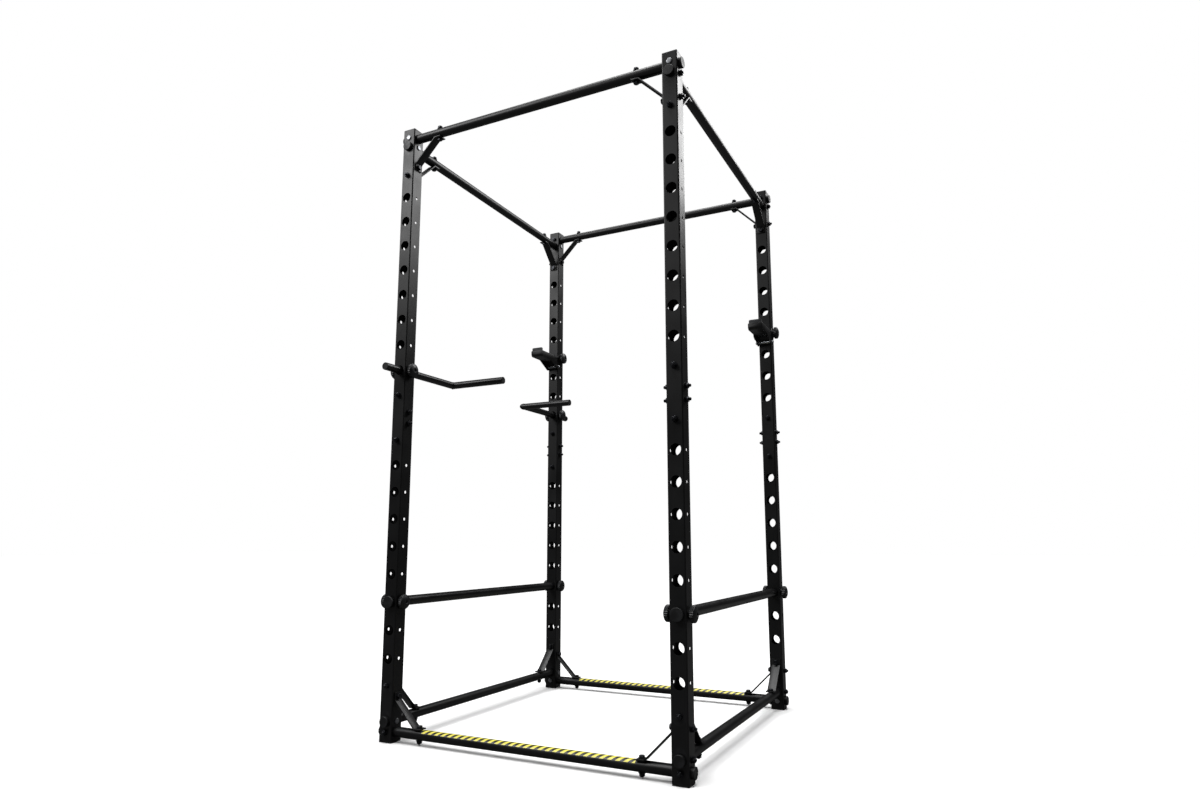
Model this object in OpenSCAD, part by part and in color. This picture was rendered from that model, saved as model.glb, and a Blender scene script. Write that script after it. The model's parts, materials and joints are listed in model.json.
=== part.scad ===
// Power cage: four two-part posts joined by round cross tubes, with corner braces,
// two safety bars, two dip bars, two barbell holders and their hand knobs.
// X is the width, Y runs from front (-) to back (+), Z is up. Origin: bottom centre.

/* [Frame] */
// Overall width over the posts
cage_w = 1100; // [900:1:1400]
// Depth between the centres of the front and back posts
cage_pitch_d = 1100; // [900:1:1400]
// Overall height, end caps included
cage_h = 2200; // [2100:1:2700]

/* [Posts] */
// Side of the square post section
post_w = 52; // [48:0.5:70]
// Wall of the post
post_wall = 2; // [1.5:0.5:3]
// Outer corner radius of the post
post_r = 4; // [2:0.5:6]
// Half the length of the sleeve inside each post joint
sleeve_half = 106; // [96:1:130]
// Wall of the sleeve
sleeve_wall = 2.5; // [1.5:0.5:4]
// Clearance of the sleeve inside the post, each side
sleeve_clear = 0.3; // [0.1:0.1:1]
// Distance of the side-to-side joint studs from the post joint
joint_x_offset = 20.5; // [15:0.5:30]
// Distance of the front-to-back joint studs from the post joint
joint_y_offset = 81; // [60:1:90]

/* [Hole rows] */
// Bar and screw holes in each post section
hole_count = 8; // [4:1:8]
// Distance from one hole to the next
hole_pitch = 94; // [80:1:100]
// Distance from the post joint to the nearest hole
first_hole = 171; // [140:1:200]
// How much wider a bar hole is than a safety bar
bar_hole_play = 2.3; // [1:0.1:4]
// How much wider a screw hole is than a knob's stud
screw_hole_play = 0.7; // [0.6:0.1:1.5]

/* [Cross tubes] */
// Outside diameter of the cross tubes
tube_d = 33.7; // [26:0.1:42]
// Wall of every round tube
tube_wall = 3.2; // [2:0.1:4]
// Free space between a width tube and the nearest post end
tube_edge = 16.2; // [15.5:0.1:30]
// Gap between the width tube and the depth tube inside a post
tube_gap = 1; // [0.5:0.5:5]
// Clearance of a cross tube in its post hole, on the radius
tube_clear = 0.3; // [0.1:0.1:1]
// How far a tube's end stands out of the post
tube_stickout = 6; // [3:0.5:15]
// Thickness of a tube end cap's flange
tube_cap_t = 5; // [3:0.5:8]
// How much wider the end cap's flange is than the tube
tube_cap_lip = 1.4; // [0:0.2:4]
// Depth of an end cap's plug inside the tube
tube_plug = 10; // [5:1:20]

/* [Post end caps] */
// Thickness of the flange that shows below and above each post
end_cap_t = 4; // [3:0.5:6]
// Depth of the plug inside the post
end_cap_plug = 9; // [5:0.5:10]
// Wall of the plug
end_cap_wall = 2.5; // [1.5:0.5:5]

/* [Braces] */
// Width of the flat steel strip
brace_w = 33; // [24:1:36]
// Thickness of the strip
brace_t = 4; // [3:0.5:6]
// Distance of each brace bolt from the inner corner
brace_reach = 99; // [80:1:140]
// Half the length of the tab around each bolt
brace_tab = 13; // [11:0.5:18]

/* [Fasteners] */
// Diameter of every bolt's shank
bolt_d = 10; // [6:0.5:12]
// Clearance of a bolt in its hole, on the diameter
bolt_clear = 0.4; // [0.2:0.1:1]
// Width across the flats of a bolt head and nut
hex_af = 16; // [10:0.5:19]
// Height of a hexagon bolt head
hex_head_t = 6.4; // [4:0.1:8]
// Height of a nut
nut_t = 8; // [5:0.1:9]
// Diameter of a washer
washer_d = 21; // [15:0.5:24]
// Thickness of a washer
washer_t = 2; // [1:0.1:2.5]
// How far the end of a brace bolt stands past its nut
bolt_tail = 6; // [2:0.5:10]
// How far each end of a joint stud stands past its nut
joint_tail = 7; // [2:0.5:10]
// How far the end of a bolt through a tube stands past its nut
tube_bolt_tail = 3; // [1:0.5:4]
// Diameter of a lock bolt's flat round head
lock_head_d = 18.5; // [16:0.5:24]
// Height of a lock bolt's flat round head
lock_head_t = 3.5; // [2:0.5:6]

/* [Safety bars] */
// Outside diameter of the safety bars
bar_d = 33.7; // [26:0.1:41]
// Which hole of the lower section holds them, counted down from the joint
bar_hole = 6; // [1:1:8]
// How far a safety bar's tube stands out of the posts, each end
bar_stickout = 8; // [4:0.5:20]
// How much wider the flange cap on the front end is than the bar
bar_flange_lip = 6.3; // [4:0.1:16]
// Thickness of the flange cap and of the rear plug's head
bar_flange_t = 6; // [3:0.5:10]
// Depth of a safety bar's or dip bar's plug inside its tube
bar_plug = 14; // [8:1:25]

/* [Dip bars] */
// Outside diameter of the dip bars
dip_d = 26.9; // [21:0.1:34]
// Which hole of the upper section holds them, counted up from the joint
dip_hole = 1; // [1:1:8]
// How far the stub end stands out of the post
dip_stub = 74; // [30:1:120]
// Distance from the cage's middle to the mitred corner
dip_corner_y = 264; // [150:1:400]
// Length of the grip, from the post line to its end
dip_grip = 235; // [150:1:300]
// Thickness of the flat head of a dip bar's end plug
dip_plug_t = 2; // [2:0.5:5]

/* [Barbell holders] */
// Which hole of the upper section holds them, counted up from the joint
cup_hole = 4; // [2:1:8]
// Thickness of the bracket's plates
cup_t = 3; // [2:0.5:4]
// Clearance of the side plates from the post
cup_clear = 1; // [0.5:0.1:3]
// Distance from the post's front face to the bracket's nose
cup_len = 156; // [130:1:200]
// Distance from the post's front face to where the underside turns down to the rod
cup_turn = 79; // [50:1:110]
// Outer radius of the fold under the nose
cup_bend_r = 12; // [8:1:16]
// Radius of the plates' round end at the screw
cup_lobe_r = 22; // [18:1:26]
// Height of the cradle's inner floor below the screw axis
cup_floor = 20; // [16:1:30]
// Height of the nose's top above the screw axis
cup_nose = 4; // [0:1:12]
// Height of the raised lip above the screw axis
cup_lip = 19; // [12:1:40]
// Diameter of the cross rod
rod_d = 8; // [6:0.5:10]
// Distance of the cross rod below the screw axis
rod_drop = 46; // [40:1:60]
// Metal of the plates round the cross rod
rod_boss = 9; // [6:0.5:14]
// Width across the flats of the dome nuts on the cross rod
rod_nut_af = 13; // [11:0.5:17]
// Thickness of the plastic liner's walls and lip
liner_t = 7; // [4:0.5:9]
// How far the liner stands above the bracket's plates
liner_proud = 1; // [0.5:0.5:3]
// Distance from the post to the liner's rear end, room for the holder to tilt
liner_gap = 14; // [14:1:30]

/* [Hand knobs] */
// Diameter of a knob
knob_d = 50; // [40:0.5:56]
// Height of a knob, from the post to its outer face
knob_h = 24; // [20:0.5:32]
// Number of finger flutes
knob_flutes = 24; // [12:1:30]
// Width of the cut that makes a flute
knob_flute_d = 3.4; // [2:0.1:4]
// Depth of a flute
knob_flute_depth = 1.1; // [0.5:0.1:1.6]
// Diameter of the hub that bears on the post
knob_hub_d = 25.3; // [20:0.1:32]
// Height of the hub
knob_hub_h = 6; // [3:0.5:8]
// Height of the fluted skirt
knob_skirt_h = 12; // [8:0.5:12]
// Diameter of a knob's stud
stud_d = 10; // [8:0.5:12]
// How far the studs of a barbell holder's knobs reach past the post's wall
stud_reach = 4; // [2:0.5:10]
// Gap between a knob and what it is tightened on
knob_gap = 0.3; // [0.3:0.1:1]

/* [Hazard tape] */
// Thickness of the tape
tape_t = 0.3; // [0.2:0.1:1]
// Half the angle that the tape covers on the top of the tube
tape_half_angle = 58; // [30:1:80]
// Gap between the tape's end and the brace
tape_gap = 3; // [1:1:20]

/* [Hidden] */
$fn = 48;
BLACK = "#1c1c1e";
STEEL = "#c4c7ca";
PLASTIC = "#111213";
YELLOW = "#e8b90c";
cut = 1;                   // how far a cut runs past a face
edge = 1;                  // small bevel of lock bolt heads, studs and knobs
plug_round = 1.5;          // rounding of the visible rim of a plug or flange cap
plug_wall = 2;             // wall of a round plug
plug_clear = 0.2;          // clearance of a round plug inside its tube, on the radius
plug_recess = 1;           // how far the plug's solid head reaches into its tube
nut_chamfer = 1.2;         // how much a nut narrows from its corners to its top
nut_play = 0.2;            // how much wider a nut's bore is than the bolt
rod_play = 0.2;            // how much wider the plates' rod hole is than the rod
dome_hex_t = 4;            // height of a dome nut's hexagon
liner_fit = 0.2;           // clearance of the liner behind the nose wall and over the fold
liner_side = 0.5;          // clearance of the liner from each side plate
lip_r = 5;                 // corner radius of the liner's lip
cup_slope = 9;             // distance from the post to where the plate's sloping top edge ends
dish_d = 14;               // rim of the dish in a knob's outer face
dish_floor_d = 10;
dish_depth = 3;
dome_step = 2;             // ledge between a knob's skirt and its dome

post_x = cage_w/2 - post_w/2;
post_y = cage_pitch_d/2;
joint_z = cage_h/2;
post_in = post_w - 2*post_wall;
post_in_r = max(post_r - post_wall, 0.5);
sleeve_w = post_in - 2*sleeve_clear;
hex_corner_d = hex_af/cos(30);

// Heights are kept as distances from the post joint, and mirrored for the lower half.
width_tube_h = joint_z - tube_edge - tube_d/2;
depth_tube_h = width_tube_h - tube_d - tube_gap;
brace_x_h = width_tube_h - tube_d/2 - brace_reach;   // bolt of a width brace, along X
brace_y_h = depth_tube_h - tube_d/2 - brace_reach;   // bolt of a depth brace, along Y
tube_bolt_in = post_w/2 + brace_reach;               // tube bolt from the post's centre
tube_hole_d = tube_d + 2*tube_clear;

bar_hole_d = bar_d + bar_hole_play;
screw_hole_d = stud_d + screw_hole_play;
bolt_hole_d = bolt_d + bolt_clear;
bar_z = joint_z - first_hole - (bar_hole - 1)*hole_pitch;
dip_z = joint_z + first_hole + (dip_hole - 1)*hole_pitch;
cup_z = joint_z + first_hole + (cup_hole - 1)*hole_pitch;

cup_in = post_w + 2*cup_clear;               // between the bracket's side plates
cup_w = cup_in + 2*cup_t;
bar_through = 2*post_y + post_w;

// One sign pair per post: front left, front right, back left, back right.
CORNERS = [[-1, -1], [1, -1], [-1, 1], [1, 1]];

// ---------- basic shapes ----------

// Upright prism with rounded edges, centred in X and Y, base at z = 0.
module rounded_prism(w, d, h, r) {
    translate([-w/2 + r, -d/2, 0]) cube([w - 2*r, d, h]);
    translate([-w/2, -d/2 + r, 0]) cube([w, d - 2*r, h]);
    for (x = [-1, 1], y = [-1, 1])
        translate([x*(w/2 - r), y*(d/2 - r), 0]) cylinder(r = r, h = h);
}

// Cylinder of length l centred on the origin, along X or Y.
module along_x(d, l) rotate([0, 90, 0]) cylinder(d = d, h = l, center = true);
module along_y(d, l) rotate([90, 0, 0]) cylinder(d = d, h = l, center = true);

// Turns a child that points along +Z towards n, which is +X, -X, +Y or -Y.
module facing(n) rotate([-90*n[1], 90*n[0], 0]) children();

// Height of a point h away from the post joint, in the upper or lower half.
function half_z(up, h) = joint_z + up*h;

// ---------- posts ----------

// Everything drilled through one post section, centred on the post, heights from the joint.
module section_holes(up) {
    for (i = [0 : hole_count - 1]) {
        translate([0, 0, up*(first_hole + i*hole_pitch)]) {
            along_y(bar_hole_d, post_w + 2*cut);
            along_x(screw_hole_d, post_w + 2*cut);
        }
    }
    translate([0, 0, up*width_tube_h]) {
        along_x(tube_hole_d, post_w + 2*cut);
        along_y(bolt_hole_d, post_w + 2*cut);
    }
    translate([0, 0, up*depth_tube_h]) {
        along_y(tube_hole_d, post_w + 2*cut);
        along_x(bolt_hole_d, post_w + 2*cut);
    }
    translate([0, 0, up*brace_x_h]) along_x(bolt_hole_d, post_w + 2*cut);
    translate([0, 0, up*brace_y_h]) along_y(bolt_hole_d, post_w + 2*cut);
    joint_holes(up, post_w);
}

module joint_holes(up, w) {
    translate([0, 0, up*joint_x_offset]) along_x(bolt_hole_d, w + 2*cut);
    translate([0, 0, up*joint_y_offset]) along_y(bolt_hole_d, w + 2*cut);
}

module post_section(corner, up) {
    length = joint_z - end_cap_t;
    color(BLACK) translate([corner[0]*post_x, corner[1]*post_y, joint_z]) difference() {
        translate([0, 0, up > 0 ? 0 : -length])
            rounded_prism(post_w, post_w, length, post_r);
        translate([0, 0, (up > 0 ? 0 : -length) - cut])
            rounded_prism(post_in, post_in, length + 2*cut, post_in_r);
        section_holes(up);
    }
}

module post_joint_sleeves() {
    inner = sleeve_w - 2*sleeve_wall;
    for (corner = CORNERS)
        color(STEEL) translate([corner[0]*post_x, corner[1]*post_y, joint_z]) difference() {
            translate([0, 0, -sleeve_half])
                rounded_prism(sleeve_w, sleeve_w, 2*sleeve_half, post_r);
            translate([-inner/2, -inner/2, -sleeve_half - cut])
                cube([inner, inner, 2*sleeve_half + 2*cut]);
            joint_holes(1, sleeve_w);
            joint_holes(-1, sleeve_w);
        }
}

module post_end_caps() {
    hollow = sleeve_w - 2*end_cap_wall;
    for (corner = CORNERS, up = [-1, 1])
        color(PLASTIC) translate([corner[0]*post_x, corner[1]*post_y, half_z(up, joint_z)])
            mirror([0, 0, up > 0 ? 1 : 0]) difference() {
                union() {
                    rounded_prism(post_w, post_w, end_cap_t, post_r);
                    rounded_prism(sleeve_w, sleeve_w, end_cap_t + end_cap_plug, post_in_r + plug_clear);
                }
                translate([0, 0, end_cap_t])
                    rounded_prism(hollow, hollow, end_cap_plug + cut, post_in_r);
            }
}

// ---------- cross tubes ----------

// Plain round tube of length l centred on the origin along X.
module tube_x(d, l) difference() {
    along_x(d, l);
    along_x(d - 2*tube_wall, l + 2*cut);
}

// Width tube, with its two lock bolt holes along Y and two brace bolt holes along Z.
module width_tube(side, up) {
    span = 2*post_x + post_w + 2*tube_stickout;
    color(BLACK) translate([0, side*post_y, half_z(up, width_tube_h)]) difference() {
        tube_x(tube_d, span);
        for (s = [-1, 1]) {
            translate([s*post_x, 0, 0]) along_y(bolt_hole_d, tube_d + 2*cut);
            translate([s*(post_x - tube_bolt_in), 0, 0])
                cylinder(d = bolt_hole_d, h = tube_d + 2*cut, center = true);
        }
    }
}

// Depth tube: the same, turned to run front to back.
module depth_tube(side, up) {
    span = 2*post_y + post_w + 2*tube_stickout;
    color(BLACK) translate([side*post_x, 0, half_z(up, depth_tube_h)]) rotate([0, 0, 90]) difference() {
        tube_x(tube_d, span);
        for (s = [-1, 1]) {
            translate([s*post_y, 0, 0]) along_y(bolt_hole_d, tube_d + 2*cut);
            translate([s*(post_y - tube_bolt_in), 0, 0])
                cylinder(d = bolt_hole_d, h = tube_d + 2*cut, center = true);
        }
    }
}

// Plastic cap for a tube end; its flange starts at z = 0 and its plug goes down.
module end_plug(tube, flange_d, flange_t, plug_l) {
    plug_r = tube/2 - tube_wall - plug_clear;
    rim_r = flange_d/2 - plug_round;
    rotate_extrude() polygon(concat(
        [[0, flange_t], [rim_r, flange_t]],
        [for (a = [75 : -15 : 0]) [rim_r + plug_round*cos(a), flange_t - plug_round + plug_round*sin(a)]],
        [[flange_d/2, 0], [plug_r, 0], [plug_r, -plug_l], [plug_r - plug_wall, -plug_l],
         [plug_r - plug_wall, -plug_recess], [0, -plug_recess]]));
}

module tube_end_caps() {
    cap_d = tube_d + tube_cap_lip;
    end_x = post_x + post_w/2 + tube_stickout;
    end_y = post_y + post_w/2 + tube_stickout;
    for (corner = CORNERS, up = [-1, 1]) color(PLASTIC) {
        translate([corner[0]*end_x, corner[1]*post_y, half_z(up, width_tube_h)])
            facing([corner[0], 0, 0]) end_plug(tube_d, cap_d, tube_cap_t, tube_plug);
        translate([corner[0]*post_x, corner[1]*end_y, half_z(up, depth_tube_h)])
            facing([0, corner[1], 0]) end_plug(tube_d, cap_d, tube_cap_t, tube_plug);
    }
}

// ---------- braces ----------

// Bent strip in the X-Z plane with its inner corner at the origin: one tab runs down the face x = 0
// and the other along z = 0; both lie on the side away from the corner's metal.
module brace() {
    bend = brace_reach - brace_tab;
    tip = brace_reach + brace_tab;
    inset = brace_t*(sqrt(2) - 1);
    difference() {
        rotate([90, 0, 0]) linear_extrude(height = brace_w, center = true) polygon([
            [0, -tip], [0, -bend], [bend, 0], [tip, 0],
            [tip, -brace_t], [bend + inset, -brace_t], [brace_t, -bend - inset], [brace_t, -tip]]);
        translate([brace_t/2, 0, -brace_reach]) along_x(bolt_hole_d, brace_t + 2*cut);
        translate([brace_reach, 0, -brace_t/2])
            cylinder(d = bolt_hole_d, h = brace_t + 2*cut, center = true);
    }
}

// Moves a child from the +X side corner under a tube to one of the four posts and one of the two halves.
module at_width_corner(corner, up)
    translate([corner[0]*(post_x - post_w/2), corner[1]*post_y, half_z(up, width_tube_h - tube_d/2)])
        mirror([corner[0] > 0 ? 1 : 0, 0, 0]) mirror([0, 0, up > 0 ? 0 : 1]) children();

module at_depth_corner(corner, up)
    translate([corner[0]*post_x, corner[1]*(post_y - post_w/2), half_z(up, depth_tube_h - tube_d/2)])
        mirror([0, corner[1] > 0 ? 1 : 0, 0]) mirror([0, 0, up > 0 ? 0 : 1])
            rotate([0, 0, 90]) children();

module braces_width(up) for (corner = CORNERS) color(BLACK) at_width_corner(corner, up) brace();
module braces_depth(up) for (corner = CORNERS) color(BLACK) at_depth_corner(corner, up) brace();

// ---------- fasteners ----------

// Seats: a bolt runs along +Z through a stack of the given thickness that starts at z = 0.
// Below it sit a washer and the head, above it a washer and the nut.
module hex_bolt(stack, tail) translate([0, 0, -washer_t - hex_head_t]) {
    cylinder(d = hex_corner_d, h = hex_head_t, $fn = 6);
    cylinder(d = bolt_d, h = hex_head_t + stack + 2*washer_t + nut_t + tail);
}

// Headless: a washer and a nut at each end.
module stud(stack, tail) translate([0, 0, -washer_t - nut_t - tail])
    cylinder(d = bolt_d, h = stack + 2*(washer_t + nut_t + tail));

module lock_bolt(stack, tail) {
    end_z = stack + washer_t + nut_t + tail;
    rotate_extrude() polygon([
        [0, -lock_head_t], [lock_head_d/2 - edge, -lock_head_t], [lock_head_d/2, -lock_head_t + edge],
        [lock_head_d/2, 0], [bolt_d/2, 0], [bolt_d/2, end_z], [0, end_z]]);
}

module nut() difference() {
    intersection() {
        cylinder(d = hex_corner_d, h = nut_t, $fn = 6);
        cylinder(d1 = hex_corner_d + nut_chamfer, d2 = hex_corner_d - nut_chamfer, h = nut_t);
    }
    translate([0, 0, -cut]) cylinder(d = bolt_d + nut_play, h = nut_t + 2*cut);
}

module washer() difference() {
    cylinder(d = washer_d, h = washer_t);
    translate([0, 0, -cut]) cylinder(d = bolt_hole_d, h = washer_t + 2*cut);
}

// Places of the bolts and studs. Each runs its child along +Z, from the head side of a bolt.
module at_brace_post_bolts() for (corner = CORNERS, up = [-1, 1]) {
    at_width_corner(corner, up) translate([brace_t, 0, -brace_reach]) facing([-1, 0, 0]) children();
    at_depth_corner(corner, up) translate([brace_t, 0, -brace_reach]) facing([-1, 0, 0]) children();
}

module at_brace_tube_bolts() for (corner = CORNERS, up = [-1, 1]) {
    at_width_corner(corner, up) translate([brace_reach, 0, -brace_t]) children();
    at_depth_corner(corner, up) translate([brace_reach, 0, -brace_t]) children();
}

module at_joint_studs() for (corner = CORNERS, up = [-1, 1])
    translate([corner[0]*post_x, corner[1]*post_y, joint_z]) {
        translate([-corner[0]*post_w/2, 0, up*joint_x_offset]) facing([corner[0], 0, 0]) children();
        translate([0, -corner[1]*post_w/2, up*joint_y_offset]) facing([0, corner[1], 0]) children();
    }

// The heads of the depth tubes' lock bolts face inwards. Those of the width tubes face outwards at the
// top and inwards at the bottom.
module at_lock_bolts() for (corner = CORNERS, up = [-1, 1]) {
    translate([corner[0]*(post_x - post_w/2), corner[1]*post_y, half_z(up, depth_tube_h)])
        facing([corner[0], 0, 0]) children();
    translate([corner[0]*post_x, corner[1]*(post_y + up*post_w/2), half_z(up, width_tube_h)])
        facing([0, -up*corner[1], 0]) children();
}

module brace_post_bolts() color(BLACK) at_brace_post_bolts() hex_bolt(post_w + brace_t, bolt_tail);
module brace_tube_bolts() color(BLACK) at_brace_tube_bolts() hex_bolt(tube_d + brace_t, tube_bolt_tail);
module joint_studs() color(BLACK) at_joint_studs() stud(post_w, joint_tail);
module lock_bolts() color(STEEL) at_lock_bolts() lock_bolt(post_w, tube_bolt_tail);

module nuts() color(BLACK) {
    at_brace_post_bolts() translate([0, 0, post_w + brace_t + washer_t]) nut();
    at_brace_tube_bolts() translate([0, 0, tube_d + brace_t + washer_t]) nut();
    at_joint_studs() {
        translate([0, 0, post_w + washer_t]) nut();
        translate([0, 0, -washer_t]) mirror([0, 0, 1]) nut();
    }
    at_lock_bolts() translate([0, 0, post_w + washer_t]) nut();
}

module washers() color(BLACK) {
    at_brace_post_bolts() for (z = [-washer_t, post_w + brace_t]) translate([0, 0, z]) washer();
    at_brace_tube_bolts() for (z = [-washer_t, tube_d + brace_t]) translate([0, 0, z]) washer();
    at_joint_studs() for (z = [-washer_t, post_w]) translate([0, 0, z]) washer();
    at_lock_bolts() translate([0, 0, post_w]) washer();
}

// ---------- hazard tape ----------

module hazard_tapes() {
    half_l = post_x - post_w/2 - brace_reach - brace_tab - tape_gap;
    reach = tube_d;
    for (side = [-1, 1])
        color(YELLOW) translate([0, side*post_y, half_z(-1, width_tube_h)]) rotate([0, -90, 0])
            translate([0, 0, -half_l]) intersection() {
                difference() {
                    cylinder(d = tube_d + 2*tape_t, h = 2*half_l);
                    translate([0, 0, -cut]) cylinder(d = tube_d, h = 2*half_l + 2*cut);
                }
                linear_extrude(height = 2*half_l) polygon([[0, 0],
                    [reach*cos(tape_half_angle), -reach*sin(tape_half_angle)], [reach, 0],
                    [reach*cos(tape_half_angle), reach*sin(tape_half_angle)]]);
            }
}

// ---------- safety bars ----------

module safety_bar(side)
    color(BLACK) translate([side*post_x, 0, bar_z]) rotate([0, 0, 90])
        tube_x(bar_d, bar_through + 2*bar_stickout);

module safety_bar_caps(side) {
    end_y = bar_through/2 + bar_stickout;
    color(PLASTIC) translate([side*post_x, -end_y, bar_z]) facing([0, -1, 0])
        end_plug(bar_d, bar_d + bar_flange_lip, bar_flange_t, bar_plug);
    color(PLASTIC) translate([side*post_x, end_y, bar_z]) facing([0, 1, 0])
        end_plug(bar_d, bar_d, bar_flange_t, bar_plug);
}

// ---------- dip bars ----------

// Solid or hollow L shape along Y and X with a mitred corner; s is the front (-1) or back (+1) bar.
module dip_path(s, d, extra) {
    stub_l = post_y + post_w/2 + dip_stub - dip_corner_y + extra;
    translate([0, s*dip_corner_y, 0]) {
        intersection() {
            translate([0, s*(stub_l - d)/2, 0]) along_y(d, stub_l + d);
            mitre_half(s, 1);
        }
        intersection() {
            translate([(dip_grip + extra - d)/2, 0, 0]) along_x(d, dip_grip + extra + d);
            mitre_half(s, -1);
        }
    }
}

// Half space on one side of the 45 degree mitre plane through the corner.
module mitre_half(s, part) {
    big = 2*post_y + cage_w;
    mirror([0, s > 0 ? 0 : 1, 0]) rotate([0, 0, 45])
        translate([-big, part > 0 ? 0 : -big, -big/2]) cube([2*big, big, big]);
}

module dip_bar(s)
    color(BLACK) translate([-post_x, 0, dip_z]) difference() {
        dip_path(s, dip_d, 0);
        dip_path(s, dip_d - 2*tube_wall, cut);
    }

module dip_bar_plugs(s) color(PLASTIC) {
    translate([-post_x, s*(post_y + post_w/2 + dip_stub), dip_z]) facing([0, s, 0])
        end_plug(dip_d, dip_d, dip_plug_t, bar_plug);
    translate([-post_x + dip_grip, s*dip_corner_y, dip_z]) facing([1, 0, 0])
        end_plug(dip_d, dip_d, dip_plug_t, bar_plug);
}

// ---------- barbell holders ----------

// Side views are drawn in (f, z) from the screw axis, with f running forward, away from the post.
cup_nose_f = post_w/2 + cup_len;
rod_f = post_w/2 + rod_d/2 + knob_gap;
rod_boss_r = rod_d/2 + rod_boss;
cup_under = -cup_floor - cup_t;              // underside of the cradle
bend_f = cup_nose_f - cup_bend_r;            // centre of the fold under the nose
bend_z = cup_under + cup_bend_r;
liner_rear_f = post_w/2 + liner_gap;

// Puts an (f, z) outline in place as a slab of thickness t centred at x.
module side_slab(x, t) translate([x, 0, 0])
    rotate([90, 0, -90]) linear_extrude(height = t, center = true) children();

module at_cup(side) translate([side*post_x, post_y, cup_z]) children();

// Point on a circle round c, at an angle from the forward direction.
function on_circle(c, r, angle) = c + r*[cos(angle), sin(angle)];

// Side plate: a round lobe at the screw, a long arm with a rounded nose, and a round boss at the rod.
module cup_side_outline() {
    screw = [0, 0];
    rod = [rod_f, -rod_drop];
    boss_front = -60;      // where the underside meets the boss
    boss_back = -150;      // where the rear edge leaves the boss
    lobe_back = -160;      // where the rear edge meets the lobe
    circle(r = cup_lobe_r);
    translate(rod) circle(r = rod_boss_r);
    translate([bend_f, bend_z]) circle(r = cup_bend_r);
    polygon([
        [0, cup_lobe_r], [post_w/2 + cup_slope, cup_nose], [cup_nose_f - cup_t, cup_nose],
        [cup_nose_f, cup_nose - cup_t], [cup_nose_f, bend_z], [bend_f, cup_under],
        [post_w/2 + cup_turn, cup_under], on_circle(rod, rod_boss_r, boss_front),
        on_circle(rod, rod_boss_r, boss_back), on_circle(screw, cup_lobe_r, lobe_back)]);
}

// The folded sheet between the plates: floor, rounded fold and nose wall.
module cup_fold_outline() difference() {
    union() {
        translate([liner_rear_f + cup_t, cup_under]) square([bend_f - liner_rear_f - cup_t, cup_t]);
        translate([cup_nose_f - cup_t, bend_z]) square([cup_t, cup_nose - bend_z]);
        intersection() {
            translate([bend_f, bend_z]) circle(r = cup_bend_r);
            translate([bend_f, cup_under]) square(cup_bend_r);
        }
    }
    translate([bend_f, bend_z]) circle(r = cup_bend_r - cup_t);
}

module cup_bracket(side)
    color(BLACK) at_cup(side) difference() {
        union() {
            for (s = [-1, 1]) side_slab(s*(cup_in + cup_t)/2, cup_t) cup_side_outline();
            side_slab(0, cup_in + cup_t) cup_fold_outline();
        }
        along_x(screw_hole_d, cup_w + 2*cut);
        translate([0, -rod_f, -rod_drop]) along_x(rod_d + rod_play, cup_w + 2*cut);
    }

// Plastic liner: fills the folded sheet, carries the bar on its top and rises at the nose as the lip.
module cup_liner(side) {
    liner_w = cup_in - 2*liner_side;
    front_f = cup_nose_f - cup_t - liner_fit;
    hollow_f = bend_f - liner_t;               // front end of the hollow underside
    top_z = cup_nose + liner_proud;
    color(PLASTIC) at_cup(side) difference() {
        union() {
            side_slab(0, liner_w) {
                translate([liner_rear_f, -cup_floor])
                    square([bend_f - liner_rear_f, top_z + cup_floor]);
                translate([liner_rear_f, bend_z]) square([front_f - liner_rear_f, top_z - bend_z]);
                translate([bend_f, bend_z]) circle(r = cup_bend_r - cup_t - liner_fit);
            }
            // raised lip with round upper corners
            translate([0, -front_f, 0]) rotate([-90, 0, 0]) linear_extrude(height = liner_t) {
                translate([-liner_w/2, lip_r - cup_lip]) square([liner_w, cup_lip - lip_r]);
                translate([lip_r - liner_w/2, -cup_lip]) square([liner_w - 2*lip_r, lip_r + cut]);
                for (s = [-1, 1])
                    translate([s*(liner_w/2 - lip_r), lip_r - cup_lip]) circle(r = lip_r);
            }
        }
        translate([-liner_w/2 + liner_t, -hollow_f, -cup_floor - cut])
            cube([liner_w - 2*liner_t, hollow_f - liner_rear_f - liner_t,
                top_z + cup_floor - liner_t + cut]);
    }
}

// Hexagon nut closed by a dome a little narrower than its flats.
module dome_nut() {
    dome_r = rod_nut_af/2 - edge;
    cylinder(d = rod_nut_af/cos(30), h = dome_hex_t, $fn = 6);
    rotate_extrude() intersection() {
        translate([0, dome_hex_t]) circle(r = dome_r);
        square([dome_r, dome_hex_t + dome_r]);
    }
}

// Cross rod, which ends inside a dome nut outside each side plate.
module cup_rod(side)
    color(STEEL) at_cup(side) translate([0, -rod_f, -rod_drop]) {
        along_x(rod_d, cup_w + 2*dome_hex_t);
        for (s = [-1, 1]) translate([s*cup_w/2, 0, 0]) facing([s, 0, 0]) dome_nut();
    }

// ---------- hand knobs ----------

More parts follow.
